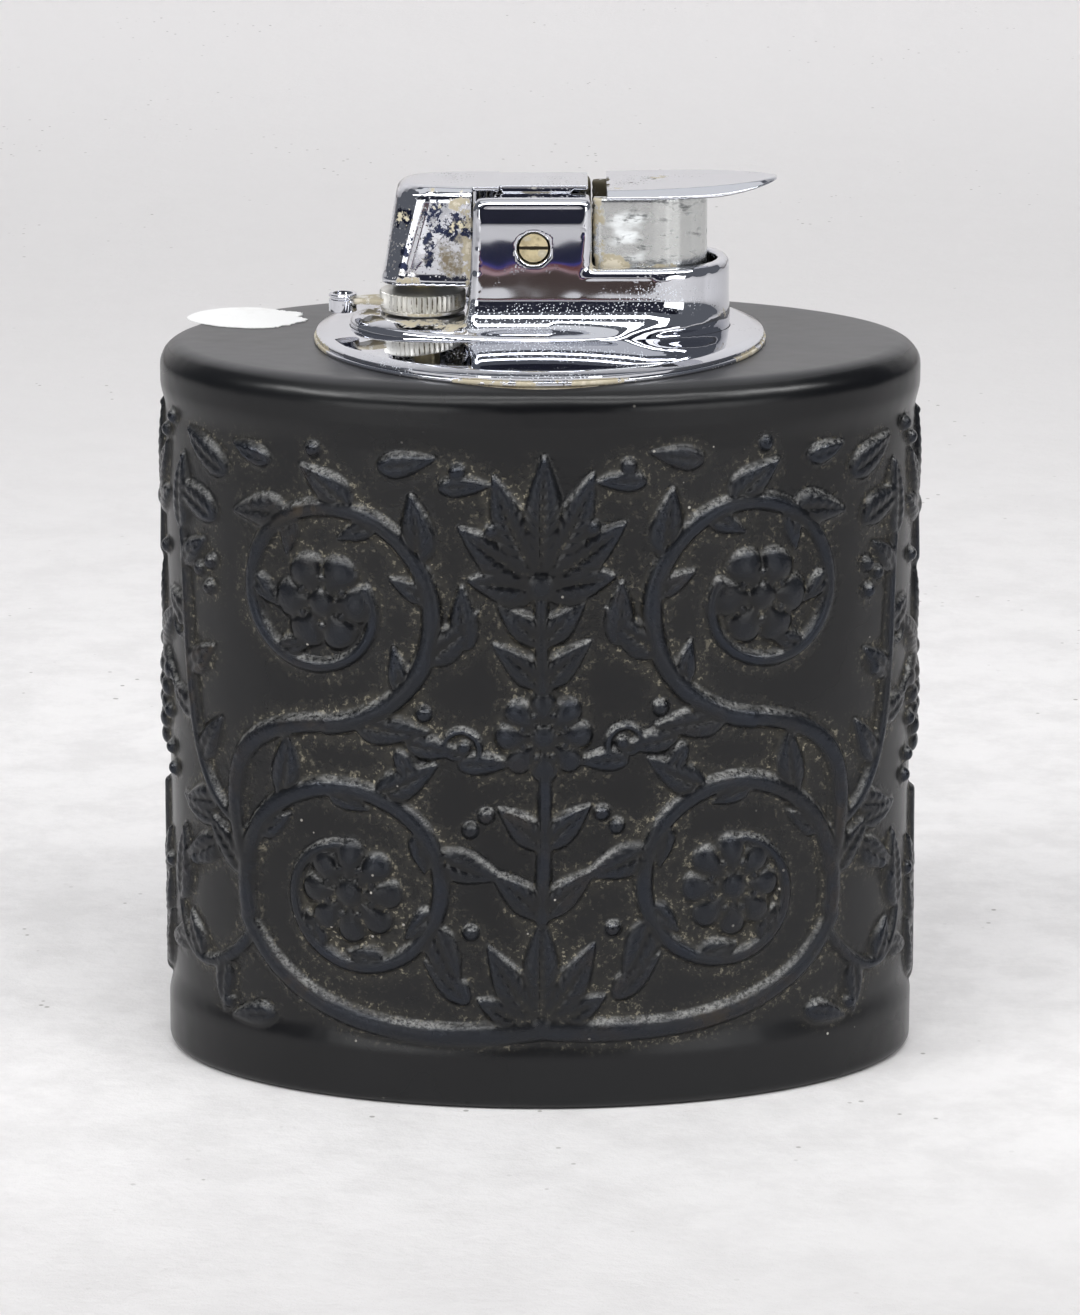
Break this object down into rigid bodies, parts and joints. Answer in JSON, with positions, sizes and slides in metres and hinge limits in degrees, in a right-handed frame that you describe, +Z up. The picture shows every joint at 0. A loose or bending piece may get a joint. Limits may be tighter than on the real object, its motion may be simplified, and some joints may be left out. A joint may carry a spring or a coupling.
{
  "type": "table lighter",
  "caption": "Oval ceramic table lighter with a chromed lift-out gas insert: thumb lever, swinging hood, spark wheel, arm-turned flame regulator, valve linkage and fuel tank.",
  "frame": {"origin": "centre of the flat base, on the surface the lighter stands on", "axes": "+Z up, +X from the regulator knob towards the thumb piece, -Y towards the slotted hood screw"},
  "size_m": [0.0858, 0.054, 0.1004],
  "materials": {
    "satin_ceramic": "satin near-black slip-cast ceramic",
    "chrome_plate": "mirror chrome, pitted with age",
    "bare_zinc": "bare die-cast zinc with whitish oxide",
    "dull_nickel": "dull nickel plate",
    "aged_brass": "tarnished brass",
    "hard_steel": "hardened steel",
    "spring_wire": "drawn spring wire",
    "tin_plate": "tinned steel sheet",
    "black_rubber": "matt rubber",
    "flint_alloy": "dark sintered alloy"
  },
  "bodies": {
    "body": {"body_shell": "satin_ceramic"},
    "insert": {"seat_ring": "chrome_plate", "flange": "chrome_plate", "grip_ring": "black_rubber", "housing": "chrome_plate", "housing_screws": "hard_steel", "pivot_screw": "aged_brass", "lever_pin": "hard_steel", "spark_axle": "hard_steel", "hood_spring": "spring_wire", "lever_spring": "spring_wire", "flint": "flint_alloy", "flint_tube": "aged_brass", "flint_spring": "spring_wire", "flint_screw": "aged_brass", "burner_spring": "spring_wire", "rocker_pin": "hard_steel", "rocker_bracket": "hard_steel", "valve_body": "aged_brass", "valve_seal": "black_rubber", "tank": "tin_plate", "tank_lid": "tin_plate", "filler_valve": "aged_brass", "filler_spring": "spring_wire", "filler_seal": "black_rubber"},
    "lever": {"lever_block": "bare_zinc", "lever_cap": "chrome_plate", "pawl": "hard_steel"},
    "hood": {"hood": "chrome_plate"},
    "spark": {"spark_wheel": "hard_steel", "ratchet_wheel": "hard_steel"},
    "push_rod": {"push_rod": "hard_steel"},
    "rocker": {"valve_rocker": "hard_steel"},
    "burner": {"burner_tube": "aged_brass", "burner_jet": "aged_brass"},
    "regulator": {"regulator_wheel": "dull_nickel", "regulator_arm": "dull_nickel", "regulator_knob": "chrome_plate"},
    "filler": {"filler_stem": "hard_steel"}
  },
  "joints": [
    {"name": "insert_lift", "type": "slide", "parent": "body", "child": "insert", "axis": [0, 0, 1], "range_m": [0, 0.065]},
    {"name": "thumb_press", "type": "hinge", "parent": "insert", "child": "lever", "pos_m": [0.0039, 0, 0.091], "axis": [0, 1, 0], "range_deg": [0, 10], "stiffness_Nm_per_rad": 0.3, "springref_deg": -17.19, "deforming": ["lever_spring"]},
    {"name": "hood_open", "type": "hinge", "parent": "insert", "child": "hood", "pos_m": [-0.0007, 0, 0.0938], "axis": [0, 1, 0], "range_deg": [0, 31]},
    {"name": "spark_turn", "type": "hinge", "parent": "insert", "child": "spark", "pos_m": [-0.0042, 0, 0.0905], "axis": [0, 1, 0], "range_deg": [-30, 0]},
    {"name": "push_rod_drop", "type": "slide", "parent": "insert", "child": "push_rod", "axis": [0, 0, -1], "range_m": [0, 0.00219]},
    {"name": "rocker_tilt", "type": "hinge", "parent": "insert", "child": "rocker", "pos_m": [-0.0076, 0, 0.0779], "axis": [0, 1, 0], "range_deg": [0, 5.2]},
    {"name": "burner_lift", "type": "slide", "parent": "insert", "child": "burner", "axis": [0, 0, 1], "range_m": [0, 0.0005], "deforming": ["burner_spring"]},
    {"name": "regulator_turn", "type": "hinge", "parent": "insert", "child": "regulator", "pos_m": [-0.01307, 0, 0.0865], "axis": [0, 0, 1], "range_deg": [-35, 35]},
    {"name": "filler_press", "type": "slide", "parent": "insert", "child": "filler", "axis": [0, 0, 1], "range_m": [0, 0.0015], "stiffness_N_per_m": 600, "springref_m": -0.001, "deforming": ["filler_spring"]}
  ],
  "couplings": [
    {"joint": "hood_open", "follows": "thumb_press", "ratio": 3.1},
    {"joint": "spark_turn", "follows": "thumb_press", "ratio": -3},
    {"joint": "push_rod_drop", "follows": "thumb_press", "m_per_rad": 0.012548},
    {"joint": "rocker_tilt", "follows": "thumb_press", "ratio": 0.52},
    {"joint": "burner_lift", "follows": "thumb_press", "m_per_rad": 0.0028648}
  ]
}
